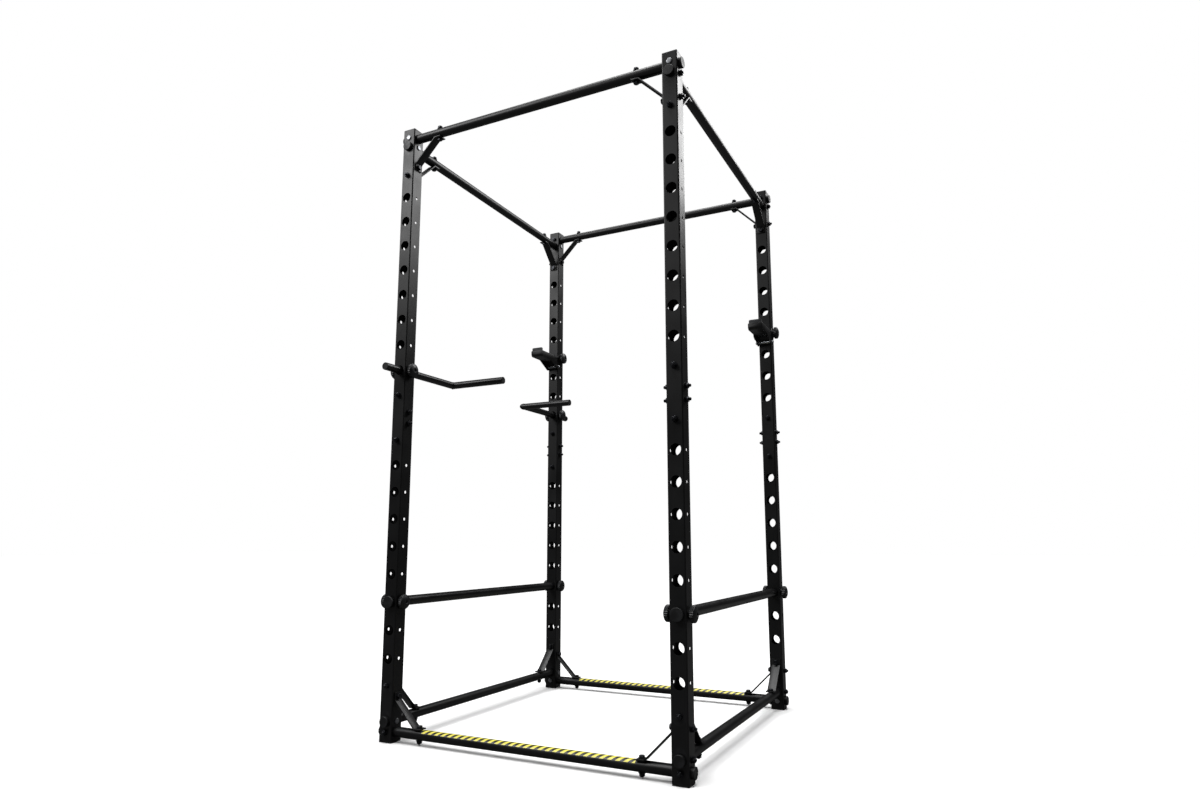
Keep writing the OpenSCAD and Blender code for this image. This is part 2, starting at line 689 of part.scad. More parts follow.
// A knob that points along +Z, its stud going down to z = -stud_l. The hub's face is at z = 0.
module knob(stud_l) {
    skirt_z = knob_hub_h + knob_skirt_h;
    skirt_r = knob_d/2;
    dome_r = skirt_r - dome_step;
    flute_at = skirt_r - knob_flute_depth + knob_flute_d/2;
    color(PLASTIC) difference() {
        rotate_extrude() polygon(concat(
            [[0, -stud_l], [stud_d/2 - edge, -stud_l], [stud_d/2, -stud_l + edge], [stud_d/2, 0],
             [knob_hub_d/2, 0], [knob_hub_d/2, knob_hub_h],
             [skirt_r - edge, knob_hub_h], [skirt_r, knob_hub_h + edge],
             [skirt_r, skirt_z - edge], [skirt_r - edge, skirt_z]],
            [for (a = [0 : 15 : 90])
                [dish_d/2 + (dome_r - dish_d/2)*cos(a), skirt_z + (knob_h - skirt_z)*sin(a)]],
            [[dish_floor_d/2, knob_h - dish_depth], [0, knob_h - dish_depth]]));
        for (i = [0 : knob_flutes - 1])
            rotate([0, 0, i*360/knob_flutes]) translate([flute_at, 0, knob_hub_h - cut])
                cylinder(d = knob_flute_d, h = knob_skirt_h + 2*cut, $fn = 16);
    }
}

// Knob on a post's side face: normal points out of the face, offset is where its hub sits from the
// post's centre line, and tip is how far from the centre line the stud ends.
module knob_at(x, y, z, normal, offset, tip)
    translate([x + normal*(offset + knob_gap), y, z]) facing([normal, 0, 0]) knob(offset + knob_gap - tip);

module safety_knob(corner, where)
    knob_at(corner[0]*post_x, corner[1]*post_y, bar_z, where*corner[0], post_w/2, bar_d/2 + knob_gap);

module dip_knob(s, where)
    knob_at(-post_x, s*post_y, dip_z, -where, post_w/2, dip_d/2 + knob_gap);

module cup_knob(side, where)
    knob_at(side*post_x, post_y, cup_z, where*side, cup_w/2, post_w/2 - post_wall - stud_reach);

// ---------- nodes ----------

post_section(CORNERS[0], -1);  // post_lower_front_left
post_section(CORNERS[1], -1);  // post_lower_front_right
post_section(CORNERS[2], -1);  // post_lower_back_left
post_section(CORNERS[3], -1);  // post_lower_back_right
post_section(CORNERS[0], 1);  // post_upper_front_left
post_section(CORNERS[1], 1);  // post_upper_front_right
post_section(CORNERS[2], 1);  // post_upper_back_left
post_section(CORNERS[3], 1);  // post_upper_back_right
post_joint_sleeves();
width_tube(-1, 1);  // top_tube_front
width_tube(1, 1);  // top_tube_back
depth_tube(-1, 1);  // top_tube_left
depth_tube(1, 1);  // top_tube_right
width_tube(-1, -1);  // bottom_tube_front
width_tube(1, -1);  // bottom_tube_back
depth_tube(-1, -1);  // bottom_tube_left
depth_tube(1, -1);  // bottom_tube_right
tube_end_caps();
post_end_caps();
braces_width(1);  // braces_top_width
braces_depth(1);  // braces_top_depth
braces_width(-1);  // braces_bottom_width
braces_depth(-1);  // braces_bottom_depth
brace_post_bolts();
brace_tube_bolts();
joint_studs();
lock_bolts();
nuts();
washers();
hazard_tapes();
safety_bar(-1);  // safety_bar_left
safety_bar(1);  // safety_bar_right
safety_bar_caps(-1);  // safety_bar_caps_left
safety_bar_caps(1);  // safety_bar_caps_right
dip_bar(-1);  // dip_bar_front
dip_bar(1);  // dip_bar_back
dip_bar_plugs(-1);  // dip_bar_plugs_front
dip_bar_plugs(1);  // dip_bar_plugs_back
cup_bracket(-1);  // cup_bracket_left
cup_bracket(1);  // cup_bracket_right
cup_liner(-1);  // cup_liner_left
cup_liner(1);  // cup_liner_right
cup_rod(-1);  // cup_rod_left
cup_rod(1);  // cup_rod_right
safety_knob(CORNERS[0], 1);  // knob_safety_front_left_outer
safety_knob(CORNERS[0], -1);  // knob_safety_front_left_inner
safety_knob(CORNERS[1], 1);  // knob_safety_front_right_outer
safety_knob(CORNERS[1], -1);  // knob_safety_front_right_inner
safety_knob(CORNERS[2], 1);  // knob_safety_back_left_outer
safety_knob(CORNERS[2], -1);  // knob_safety_back_left_inner
safety_knob(CORNERS[3], 1);  // knob_safety_back_right_outer
safety_knob(CORNERS[3], -1);  // knob_safety_back_right_inner
dip_knob(-1, 1);  // knob_dip_front_outer
dip_knob(-1, -1);  // knob_dip_front_inner
dip_knob(1, 1);  // knob_dip_back_outer
dip_knob(1, -1);  // knob_dip_back_inner
cup_knob(-1, 1);  // knob_cup_left_outer
cup_knob(-1, -1);  // knob_cup_left_inner
cup_knob(1, 1);  // knob_cup_right_outer
cup_knob(1, -1);  // knob_cup_right_inner
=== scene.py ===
"""Looks of a power cage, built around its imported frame.

Every place and length comes from the frame: the boxes of its parts, its joints and its mounts. What stands
here as a number is a detail that the frame doesn't carry, such as a thread's pitch or a chamfer.
"""
import json
import logging
import math
from collections.abc import Iterable, Mapping, Sequence
from dataclasses import dataclass, field
from enum import Enum
from typing import ClassVar

import bmesh
import bpy
from mathutils import Matrix, Vector


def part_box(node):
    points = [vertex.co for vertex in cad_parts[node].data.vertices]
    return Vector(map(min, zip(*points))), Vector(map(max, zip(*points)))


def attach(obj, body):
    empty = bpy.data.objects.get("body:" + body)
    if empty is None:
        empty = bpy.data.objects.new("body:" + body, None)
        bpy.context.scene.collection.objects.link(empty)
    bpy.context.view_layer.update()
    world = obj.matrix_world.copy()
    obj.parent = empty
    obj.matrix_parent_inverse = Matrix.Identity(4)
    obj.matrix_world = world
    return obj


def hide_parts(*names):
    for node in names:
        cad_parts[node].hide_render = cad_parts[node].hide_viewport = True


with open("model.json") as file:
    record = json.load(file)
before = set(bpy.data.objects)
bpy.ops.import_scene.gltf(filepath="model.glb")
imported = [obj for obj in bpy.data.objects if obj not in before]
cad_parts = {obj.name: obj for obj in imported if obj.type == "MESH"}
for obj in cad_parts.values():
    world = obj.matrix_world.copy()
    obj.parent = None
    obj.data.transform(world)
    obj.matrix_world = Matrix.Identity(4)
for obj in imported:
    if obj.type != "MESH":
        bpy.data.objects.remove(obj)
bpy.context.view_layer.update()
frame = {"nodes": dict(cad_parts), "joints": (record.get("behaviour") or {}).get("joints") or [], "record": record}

LOG = logging.getLogger("power_cage")
MM = 0.001
SAME_POINT = 1e-6
FLATS_TO_CORNERS = math.cos(math.pi / 6)
Socket = bpy.types.NodeSocket
Tree = bpy.types.NodeTree
Inputs = Mapping[str | int, object] | Sequence[object]
Span = tuple[float, float]
Outline = tuple[Span, ...]
SMOOTH = {"interpolation_type": "SMOOTHSTEP"}
COLOURS = {"data_type": "RGBA"}


# ---------------------------------------------------------------- colours and nodes


def srgb(code: str) -> tuple[float, float, float, float]:
    """Turns an sRGB hex colour into linear RGBA.

    Args:
        code: a colour such as "#1a1b1d".

    Returns:
        Linear red, green and blue, and an alpha of 1.
    """
    channels = [int(code[i:i + 2], 16) / 255 for i in (1, 3, 5)]
    linear = [c / 12.92 if c <= 0.04045 else ((c + 0.055) / 1.055) ** 2.4 for c in channels]
    return (linear[0], linear[1], linear[2], 1.0)


def per_metre(size_mm: float) -> float:
    """The texture scale at which one cell of a pattern is size_mm across."""
    return 1 / (size_mm * MM)


def add(tree: Tree, kind: str, inputs: Inputs = (), **settings: object) -> bpy.types.Node:
    """Adds one shader node with its settings and links.

    Args:
        tree: the node tree that it goes into.
        kind: the node's type without its "ShaderNode" prefix.
        inputs: values for its inputs, in their order or by name or number. A socket is linked, and a node
            stands for its own first output.
        settings: the node's own properties.

    Returns:
        The new node.
    """
    node = tree.nodes.new("ShaderNode" + kind)
    for name, value in settings.items():
        setattr(node, name, value)
    for name, value in inputs.items() if isinstance(inputs, Mapping) else enumerate(inputs):
        if isinstance(value, bpy.types.Node):
            value = value.outputs[0]
        if isinstance(value, Socket):
            tree.links.new(value, node.inputs[name])
        else:
            node.inputs[name].default_value = value
    return node


# ---------------------------------------------------------------- finishes


@dataclass(frozen=True)
class Finish:
    """What every finish has: a name for the real material and the way it was made."""

    title: str

    def material(self) -> bpy.types.Material:
        """The finish's material, made on first use.

        Returns:
            The material.
        """
        known = bpy.data.materials.get(self.title)
        if known:
            return known
        made = bpy.data.materials.new(self.title)
        made.use_nodes = True
        tree = made.node_tree
        tree.nodes.clear()
        coords = add(tree, "TexCoord").outputs["Object"]
        shader = add(tree, "BsdfPrincipled", self.paint(tree, coords))
        add(tree, "OutputMaterial", {"Surface": shader})
        return made

    def paint(self, tree: Tree, coords: Socket) -> dict[str, object]:
        """Builds the finish's patterns; each finish has its own.

        Args:
            tree: the material's node tree.
            coords: the piece's own coordinates, in metres.

        Returns:
            What the shader's inputs are set or linked to.
        """
        raise NotImplementedError


@dataclass(frozen=True)
class HoleRimWearAndHighlight:
    """Where bars scuff the paint beside a row of round holes, and where a lighter ring is painted there as a rim
    highlight, in metres.
    """

    post_x: float
    joint_z: float
    phase: float
    pitch: float
    radius: float


@dataclass(frozen=True)
class PowderCoat(Finish):
    """Black polyester powder coat, sprayed and baked on steel: satin, with a faint orange peel."""

    base: str = "#0a0a0b"
    # lighter grey: random clouds in the coat, and the painted rim highlight round the bar holes
    worn_and_rim_highlight: str = "#252628"
    dust: str = "#8b8c8e"
    gloss: Span = (0.36, 0.46)
    gloss_band: Span = (0.25, 0.75)
    rubbed_shine: float = 0.1
    specular: float = 0.42
    peel_mm: float = 4.0
    peel_depth_mm: float = 0.12
    peel_strength: float = 0.5
    peel_detail: float = 3.0
    cloud_mm: float = 140.0
    cloud_detail: float = 3.0
    cloud_band: Span = (0.3, 0.7)
    cloud_share: float = 0.12
    dust_mm: float = 1.6
    dust_detail: float = 1.0
    dust_band: Span = (0.66, 0.78)
    dust_share: float = 0.06
    rim_mm: float = 2.6
    rim_start_mm: float = 0.2
    patch_mm: float = 14.0
    patch_band: Span = (0.35, 0.65)
    patch_share: Span = (0.12, 0.5)
    rim_wear_and_highlight: HoleRimWearAndHighlight | None = None

    def paint(self, tree: Tree, coords: Socket) -> dict[str, object]:
        """Orange peel in the relief, slow clouds in the gloss, fine dust in the colour, lighter rims at holes:
        rubbed paint and painted highlight.

        Args:
            tree: the material's node tree.
            coords: the piece's own coordinates, in metres.

        Returns:
            What the shader's inputs are set or linked to.
        """
        # real peel is 1 to 2 mm across and would not show, so it is drawn at peel_mm
        peel, clouds, specks = (
            add(tree, "TexNoise", {"Vector": coords, "Scale": per_metre(size_mm), "Detail": detail})
            for size_mm, detail in ((self.peel_mm, self.peel_detail), (self.cloud_mm, self.cloud_detail),
                                    (self.dust_mm, self.dust_detail)))
        veil = add(tree, "MapRange", (clouds, *self.cloud_band, 0.0, self.cloud_share), **SMOOTH)
        dusty = add(tree, "MapRange", (specks, *self.dust_band, 0.0, self.dust_share), **SMOOTH)
        gloss = add(tree, "MapRange", (clouds, *self.gloss_band, *self.gloss), **SMOOTH)
        tone = add(tree, "Mix", {0: veil, 6: srgb(self.base), 7: srgb(self.worn_and_rim_highlight)}, **COLOURS).outputs[2]
        tone = add(tree, "Mix", {0: dusty, 6: tone, 7: srgb(self.dust)}, **COLOURS).outputs[2]
        if self.rim_wear_and_highlight:
            # a lighter ring round each bar hole: partly rubbed paint, partly a painted rim highlight
            rub_and_highlight = self.rubbed_and_highlighted_rims(tree, coords, self.rim_wear_and_highlight)
            tone = add(tree, "Mix", {0: rub_and_highlight, 6: tone, 7: srgb(self.worn_and_rim_highlight)}, **COLOURS).outputs[2]
            shine = add(tree, "Math", (rub_and_highlight, self.rubbed_shine), operation="MULTIPLY")
            gloss = add(tree, "Math", (gloss, shine), operation="SUBTRACT")
        relief = add(tree, "Bump", {"Height": peel, "Distance": self.peel_depth_mm * MM,
                                    "Strength": self.peel_strength})
        return {"Base Color": tone, "Roughness": gloss, "Specular IOR Level": self.specular,
                "Normal": relief}

    def rubbed_and_highlighted_rims(self, tree: Tree, coords: Socket, rim_wear_and_highlight: HoleRimWearAndHighlight) -> bpy.types.Node:
        """Works out how far a point is rubbed and lit by the painted rim highlight, from 0 to 1: a patchy ring
        round each bar hole of the posts.

        Args:
            tree: the material's node tree.
            coords: the piece's own coordinates, in metres.
            rim_wear_and_highlight: where the holes are.

        Returns:
            The node whose output is the rubbing.
        """
        place = add(tree, "SeparateXYZ", (coords,)).outputs
        either_side = add(tree, "Math", (place[0],), operation="ABSOLUTE")
        across = add(tree, "Math", (either_side, rim_wear_and_highlight.post_x), operation="SUBTRACT")
        above = add(tree, "Math", (place[2], rim_wear_and_highlight.joint_z), operation="SUBTRACT")
        either_half = add(tree, "Math", (above,), operation="ABSOLUTE")
        height = add(tree, "Math", (either_half, rim_wear_and_highlight.phase), operation="SUBTRACT")
        along = add(tree, "Math", (height, rim_wear_and_highlight.pitch / 2), operation="PINGPONG")
        across_sq = add(tree, "Math", (across, across), operation="MULTIPLY")
        radius_sq = add(tree, "Math", (along, along, across_sq), operation="MULTIPLY_ADD")
        radius = add(tree, "Math", (radius_sq,), operation="SQRT")
        ring = add(tree, "MapRange", (radius, rim_wear_and_highlight.radius + self.rim_mm * MM,
                                      rim_wear_and_highlight.radius + self.rim_start_mm * MM), **SMOOTH)
        blotches = add(tree, "TexNoise", {"Vector": coords, "Scale": per_metre(self.patch_mm)})
        patches = add(tree, "MapRange", (blotches, *self.patch_band, *self.patch_share), **SMOOTH)
        return add(tree, "Math", (ring, patches), operation="MULTIPLY")


@dataclass(frozen=True)
class PlatedSteel(Finish):
    """Steel turned or rolled, then zinc plated: fine drawn lines and small clouds in the shine.

    Real tool lines are 0.1 to 0.2 mm apart and would not show, so they are drawn at line_mm.
    """

    base: str = "#b4b7bb"
    shade: str = "#8b8f93"
    metallic: float = 1.0
    gloss: Span = (0.26, 0.42)
    gloss_band: Span = (0.3, 0.7)
    line_mm: float = 0.7
    line_depth_mm: float = 0.02
    line_strength: float = 0.35
    cloud_mm: float = 7.0
    cloud_detail: float = 3.0
    cloud_band: Span = (0.35, 0.7)

    def paint(self, tree: Tree, coords: Socket) -> dict[str, object]:
        """Clouds in colour and gloss, and fine tool lines in the relief.

        Args:
            tree: the material's node tree.
            coords: the piece's own coordinates, in metres.

        Returns:
            What the shader's inputs are set or linked to.
        """
        clouds = add(tree, "TexNoise", {"Vector": coords, "Scale": per_metre(self.cloud_mm),
                                        "Detail": self.cloud_detail})
        lines = add(tree, "TexNoise", {"Vector": coords, "Scale": per_metre(self.line_mm)})
        shaded = add(tree, "MapRange", (clouds, *self.cloud_band), **SMOOTH)
        tone = add(tree, "Mix", {0: shaded, 6: srgb(self.base), 7: srgb(self.shade)}, **COLOURS).outputs[2]
        gloss = add(tree, "MapRange", (clouds, *self.gloss_band, *self.gloss), **SMOOTH)
        relief = add(tree, "Bump", {"Height": lines, "Distance": self.line_depth_mm * MM,
                                    "Strength": self.line_strength})
        return {"Base Color": tone, "Metallic": self.metallic, "Roughness": gloss, "Normal": relief}


@dataclass(frozen=True)
class MouldedPlastic(Finish):
    """Injection-moulded plastic with a spark-eroded grain: matt, slightly uneven in shine.

    Real grain is 0.1 to 0.3 mm across and would not show, so it is drawn at grain_mm.
    """

    base: str = "#101112"
    shade: str = "#1d1e20"
    gloss: Span = (0.42, 0.58)
    index: float = 1.5
    specular: float = 0.45
    grain_mm: float = 0.9
    grain_depth_mm: float = 0.08
    grain_strength: float = 0.4
    cloud_mm: float = 22.0
    cloud_band: Span = (0.3, 0.7)

    def paint(self, tree: Tree, coords: Socket) -> dict[str, object]:
        """Fine pebble grain in the relief, flow clouds in colour and gloss.

        Args:
            tree: the material's node tree.
            coords: the piece's own coordinates, in metres.

        Returns:
            What the shader's inputs are set or linked to.
        """
        cells = add(tree, "TexVoronoi", {"Vector": coords, "Scale": per_metre(self.grain_mm)})
        clouds = add(tree, "TexNoise", {"Vector": coords, "Scale": per_metre(self.cloud_mm)})
        shaded = add(tree, "MapRange", (clouds, *self.cloud_band), **SMOOTH)
        tone = add(tree, "Mix", {0: shaded, 6: srgb(self.base), 7: srgb(self.shade)}, **COLOURS).outputs[2]
        gloss = add(tree, "MapRange", (clouds, *self.cloud_band, *self.gloss), **SMOOTH)
        relief = add(tree, "Bump", {"Height": cells, "Distance": self.grain_depth_mm * MM,
                                    "Strength": self.grain_strength})
        return {"Base Color": tone, "IOR": self.index, "Specular IOR Level": self.specular,
                "Roughness": gloss, "Normal": relief}


@dataclass(frozen=True)
class PrintedTape(Finish):
    """Printed vinyl tape, yellow with slanted black stripes, along a tube: glossy and a little scuffed."""

    yellow: str = "#e6dc5c"
    black: str = "#131318"
    grime: str = "#5d5b45"
    index: float = 1.5
    gloss: Span = (0.28, 0.5)
    pitch_mm: float = 26.0
    yellow_share: float = 0.5
    fade_mm: float = 0.3
    scuff_mm: float = 9.0
    scuff_detail: float = 4.0
    scuff_roughness: float = 0.65
    scuff_band: Span = (0.60, 0.72)
    scuff_share: float = 0.3
    wrinkle_mm: float = 11.0
    wrinkle_depth_mm: float = 0.15
    wrinkle_strength: float = 0.4
    tube_y: float = 0.0
    tube_z: float = 0.0

    def paint(self, tree: Tree, coords: Socket) -> dict[str, object]:
        """Stripes at 45 degrees on the tape's own surface, rubbed thin where feet step over it.

        Args:
            tree: the material's node tree.
            coords: the piece's own coordinates, in metres.

        Returns:
            What the shader's inputs are set or linked to.
        """
        pitch, fade = self.pitch_mm * MM, self.fade_mm * MM
        share = pitch * self.yellow_share
        place = add(tree, "SeparateXYZ", (coords,)).outputs
        side = add(tree, "Math", (place[1],), operation="SIGN")
        middle = add(tree, "Math", (side, self.tube_y), operation="MULTIPLY")
        back = add(tree, "Math", (place[1], middle), operation="SUBTRACT")
        up = add(tree, "Math", (place[2], self.tube_z), operation="SUBTRACT")
        back_sq = add(tree, "Math", (back, back), operation="MULTIPLY")
        radius_sq = add(tree, "Math", (up, up, back_sq), operation="MULTIPLY_ADD")
        radius = add(tree, "Math", (radius_sq,), operation="SQRT")
        angle = add(tree, "Math", (back, up), operation="ARCTAN2")
        arc = add(tree, "Math", (angle, radius), operation="MULTIPLY")
        slant = add(tree, "Math", (place[0], arc), operation="SUBTRACT")
        turn = add(tree, "Math", (slant, pitch, 0.0), operation="WRAP")
        start = add(tree, "MapRange", (turn, 0.0, fade), **SMOOTH)
        stop = add(tree, "MapRange", (turn, share, share + fade, 1.0, 0.0), **SMOOTH)
        stripe = add(tree, "Math", (start, stop), operation="MULTIPLY")
        marks = add(tree, "TexNoise", {"Vector": coords, "Scale": per_metre(self.scuff_mm),
                                       "Detail": self.scuff_detail, "Roughness": self.scuff_roughness})
        scuff = add(tree, "MapRange", (marks, *self.scuff_band, 0.0, self.scuff_share), **SMOOTH)
        tone = add(tree, "Mix", {0: stripe, 6: srgb(self.black), 7: srgb(self.yellow)}, **COLOURS).outputs[2]
        tone = add(tree, "Mix", {0: scuff, 6: tone, 7: srgb(self.grime)}, **COLOURS).outputs[2]
        gloss = add(tree, "MapRange", (scuff, 0.0, self.scuff_share, *self.gloss), **SMOOTH)
        wrinkles = add(tree, "TexNoise", {"Vector": coords, "Scale": per_metre(self.wrinkle_mm)})
        relief = add(tree, "Bump", {"Height": wrinkles, "Distance": self.wrinkle_depth_mm * MM,
                                    "Strength": self.wrinkle_strength})
        return {"Base Color": tone, "IOR": self.index, "Roughness": gloss, "Normal": relief}


@dataclass(frozen=True)
class StudioPaper(Finish):
    """Seamless white background paper: matt, with a faint tooth, and dim in what the object reflects."""

    base: str = "#f8f8f8"
    reflected: str = "#555555"
    roughness: float = 0.9
    specular: float = 0.1
    tooth_mm: float = 3.0
    tooth_depth_mm: float = 0.02
    tooth_strength: float = 0.1

    def paint(self, tree: Tree, coords: Socket) -> dict[str, object]:
        """Even white to look at, grey as a reflector, with a very fine tooth.

        Args:
            tree: the material's node tree.
            coords: the piece's own coordinates, in metres.

        Returns:
            What the shader's inputs are set or linked to.
        """
        seen = add(tree, "LightPath")
        tooth = add(tree, "TexNoise", {"Vector": coords, "Scale": per_metre(self.tooth_mm)})
        tone = add(tree, "Mix", {0: seen, 6: srgb(self.reflected), 7: srgb(self.base)}, **COLOURS).outputs[2]
        relief = add(tree, "Bump", {"Height": tooth, "Distance": self.tooth_depth_mm * MM,
                                    "Strength": self.tooth_strength})
        return {"Base Color": tone, "Roughness": self.roughness, "Specular IOR Level": self.specular,
                "Normal": relief}


# ---------------------------------------------------------------- mesh making


def as_piece(name: str, bm: bmesh.types.BMesh, finish: Finish, body: str,
             replaces: Sequence[str] = (), crease_deg: float = 32.0) -> bpy.types.Object:
    """Turns a finished bmesh into a piece of the object that rides on a body.

    Args:
        name: the piece's name.
        bm: the mesh, in metres and in the row frame; it is freed.
        finish: what the piece is made of.
        body: the body it rides on.
        replaces: CAD nodes that the piece stands for.
        crease_deg: edges sharper than this stay sharp.

    Returns:
        The new object.
    """
    mesh = bpy.data.meshes.new(name)
    bm.to_mesh(mesh)
    bm.free()
    mesh.polygons.foreach_set("use_smooth", [True] * len(mesh.polygons))
    mesh.set_sharp_from_angle(angle=math.radians(crease_deg))
    mesh.materials.append(finish.material())
    piece = bpy.data.objects.new(name, mesh)
    bpy.context.scene.collection.objects.link(piece)
    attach(piece, body)
    if replaces:
        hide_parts(*replaces)
    LOG.info("%s: %d faces on %s", name, len(mesh.polygons), body)
    return piece


def dress(nodes: Iterable[str], finish: Finish) -> None:
    """Gives CAD parts a finish in place of their plain one.

    Args:
        nodes: the CAD parts' names.
        finish: what they are made of.
    """
    for name in nodes:
        for one in frame["nodes"][name].material_slots:
            one.material = finish.material()
        LOG.info("%s: dressed in %s", name, finish.title)


def turned(profile: Sequence[Span], steps: int) -> bmesh.types.BMesh:
    """Spins a profile of (radius, height) points, in millimetres, into a closed solid about Z.

    Args:
        profile: points from the axis at the bottom to the axis at the top.
        steps: how many segments a full turn has.

    Returns:
        The solid, in metres.
    """
    bm = bmesh.new()
    points = [bm.verts.new((r * MM, 0.0, z * MM)) for r, z in profile]
    for first, second in zip(points, points[1:]):
        bm.edges.new((first, second))
    bmesh.ops.spin(bm, geom=bm.verts[:] + bm.edges[:], cent=(0, 0, 0), axis=(0, 0, 1), dvec=(0, 0, 0),
                   angle=math.tau, steps=steps, use_merge=True, use_duplicate=False)
    bmesh.ops.remove_doubles(bm, verts=bm.verts[:], dist=SAME_POINT)
    bmesh.ops.recalc_face_normals(bm, faces=bm.faces[:])
    return bm


def onto(place: Vector, direction: Vector) -> Matrix:
    """Gives the placing that takes +Z to a direction and the origin to a place."""
    return Matrix.Translation(place) @ direction.to_track_quat("Z", "Y").to_matrix().to_4x4()


def merge_into(target: bmesh.types.BMesh, part: bmesh.types.BMesh, placing: Matrix) -> None:
    """Adds a copy of a part to a bigger mesh; the part is kept.

    Args:
        target: the bigger mesh.
        part: what is copied.
        placing: where the copy goes.
    """
    copy = part.copy()
    bmesh.ops.transform(copy, matrix=placing, verts=copy.verts[:])
    holder = bpy.data.meshes.new("copy")
    copy.to_mesh(holder)
    copy.free()
    target.from_mesh(holder)
    bpy.data.meshes.remove(holder)


@dataclass
class Solid:
    """One separate solid of a CAD node, found by walking its mesh."""

    low: Vector
    high: Vector
    points: list[Vector] = field(default_factory=list)

    @property
    def axis(self) -> int:
        """The row axis that the solid is longest along."""
        size = self.high - self.low
        return max(range(3), key=lambda i: size[i])

    @property
    def centre(self) -> Vector:
        """The middle of the solid's box."""
        return (self.low + self.high) / 2

    def off_axis(self, point: Vector, axis: int) -> float:
        """How far a point is from the line along a row axis through the solid's middle."""
        return math.hypot(*(point[i] - self.centre[i] for i in range(3) if i != axis))


def solids(node: str) -> list[Solid]:
    """Splits a CAD node into its separate solids, in a fixed order.

    Args:
        node: the CAD part.

    Returns:
        Its solids, sorted by their middles.
    """
    bm = bmesh.new()
    bm.from_mesh(frame["nodes"][node].data)
    bmesh.ops.remove_doubles(bm, verts=bm.verts[:], dist=SAME_POINT)
    seen: set[bmesh.types.BMVert] = set()
    found = []
    for start in bm.verts:
        if start in seen:
            continue
        seen.add(start)
        queue, members = [start], []
        while queue:
            vert = queue.pop()
            members.append(vert.co.copy())
            for edge in vert.link_edges:
                other = edge.other_vert(vert)
                if other not in seen:
                    seen.add(other)
                    queue.append(other)
        low = Vector([min(p[i] for p in members) for i in range(3)])
        high = Vector([max(p[i] for p in members) for i in range(3)])
        found.append(Solid(low, high, members))
    bm.free()
    return sorted(found, key=lambda s: tuple(round(v, 4) for v in s.centre))


def softened(node: str, width_mm: float, segments: int = 2, sharp_deg: float = 40.0) -> bmesh.types.BMesh:
    """Copies a CAD part and rounds its sharp edges, as paint or moulding does.

    Args:
        node: the CAD part.
        width_mm: how far the rounding reaches from an edge.
        segments: how many strips the rounding has.
        sharp_deg: edges that fold by more than this are rounded.

    Returns:
        The rounded copy, in the row frame.
    """
    bm = bmesh.new()
    bm.from_mesh(frame["nodes"][node].data)
    bmesh.ops.remove_doubles(bm, verts=bm.verts[:], dist=SAME_POINT)
    bmesh.ops.dissolve_limit(bm, angle_limit=math.radians(1), verts=bm.verts[:], edges=bm.edges[:])
    sharp = [e for e in bm.edges if e.is_manifold and e.calc_face_angle(0) > math.radians(sharp_deg)]
    bmesh.ops.bevel(bm, geom=sharp, offset=width_mm * MM, offset_type="OFFSET", affect="EDGES",
                    segments=segments, profile=0.5, material=-1, clamp_overlap=True)
    return bm


# ---------------------------------------------------------------- finishes of this cage


def hole_rim_wear_and_highlight() -> HoleRimWearAndHighlight:
    """Reads where the posts' bar holes are from the mounts that the record gives.

    Returns:
        The rows' place, pitch and radius, the same on all posts and on both halves.
    """
    mounts = {m["name"]: m for m in frame["record"]["mounts"]}
    bar, screw = mounts["bar_hole_front_left"], mounts["screw_hole_front_left"]
    joint_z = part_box("post_upper_front_left")[0].z
    pitch = abs(bar["pos_m"][2] - screw["pos_m"][2])
    return HoleRimWearAndHighlight(post_x=abs(bar["pos_m"][0]), joint_z=joint_z, phase=(bar["pos_m"][2] - joint_z) % pitch,
                    pitch=pitch, radius=bar["dims"]["r_mm"] * MM)


# satin black, a little greyer and shinier round the bar holes, where the lighter grey is partly rubbed paint and
# partly a painted rim highlight
POST_PAINT = PowderCoat("powder_coated_steel_post", rim_wear_and_highlight=hole_rim_wear_and_highlight())
# the same black, away from the holes
PAINT = PowderCoat("powder_coated_steel")
# smoother and shinier, as hands and bars polish it
GRIP_PAINT = PowderCoat("powder_coated_steel_handled", gloss=(0.26, 0.38), peel_mm=5.0)
# thin over the ripples of a weld, so that its peel is finer
BEAD_PAINT = PowderCoat("powder_coated_weld_bead", gloss=(0.3, 0.4), peel_mm=2.2)
# light grey metal with soft, lined reflections
ZINC = PlatedSteel("zinc_plated_turned_steel")
# greyer and duller than turned zinc, because the blank was pressed
HEADED_ZINC = PlatedSteel("zinc_plated_cold_headed_steel", base="#a3a5a8", shade="#85878a",
                          gloss=(0.4, 0.52))
# nearly black, but its reflections are still a metal's
BLACK_ZINC = PlatedSteel("black_zinc_plated_steel", base="#232427", shade="#3a3b3f", metallic=0.75,
                         gloss=(0.28, 0.42))
# matt and waxy
CAP_PLASTIC = MouldedPlastic("moulded_black_polyethylene")
# a soft sheen that picks out the crests of the ribs
KNOB_PLASTIC = MouldedPlastic("moulded_black_nylon", base="#17181a", shade="#242628",
                              gloss=(0.34, 0.48), grain_mm=0.7)
# dull dark grey, coarsely grained
LINER_PLASTIC = MouldedPlastic("moulded_dark_polyurethane", base="#27282a", shade="#35373a",
                               gloss=(0.45, 0.62), grain_mm=1.4)


# ---------------------------------------------------------------- frame


